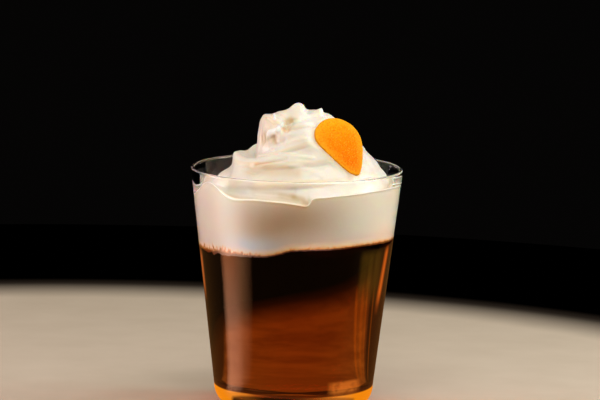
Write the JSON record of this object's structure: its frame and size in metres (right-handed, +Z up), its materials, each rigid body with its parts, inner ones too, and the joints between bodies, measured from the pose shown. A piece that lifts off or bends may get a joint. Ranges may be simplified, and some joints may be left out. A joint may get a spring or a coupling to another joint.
{
  "type": "orange rum cocktail in a tumbler",
  "caption": "Dark amber rum cocktail in a tapered clear tumbler, under a layer of whipped cream that swirls up into a mound above the rim, with a slip of orange peel pressed into it.",
  "frame": {"origin": "centre of the tumbler's foot, on the surface that it stands on", "axes": "+Z up along the tumbler's axis; -Y towards the side with the orange peel, which lies right of the middle as seen from there"},
  "size_m": [0.0858, 0.0858, 0.1244],
  "materials": {
    "glass": "clear, polished, with a thin wall and a thin base",
    "drink": "clear dark amber liquid, reddish where light comes through",
    "whipped_cream": "soft ivory whipped cream with a satin sheen",
    "orange_peel": "waxy orange skin with fine pores and a paler cut edge"
  },
  "bodies": {
    "root": {"glass": "glass", "drink": "drink", "whipped_cream": "whipped_cream", "orange_peel": "orange_peel"}
  },
  "joints": []
}
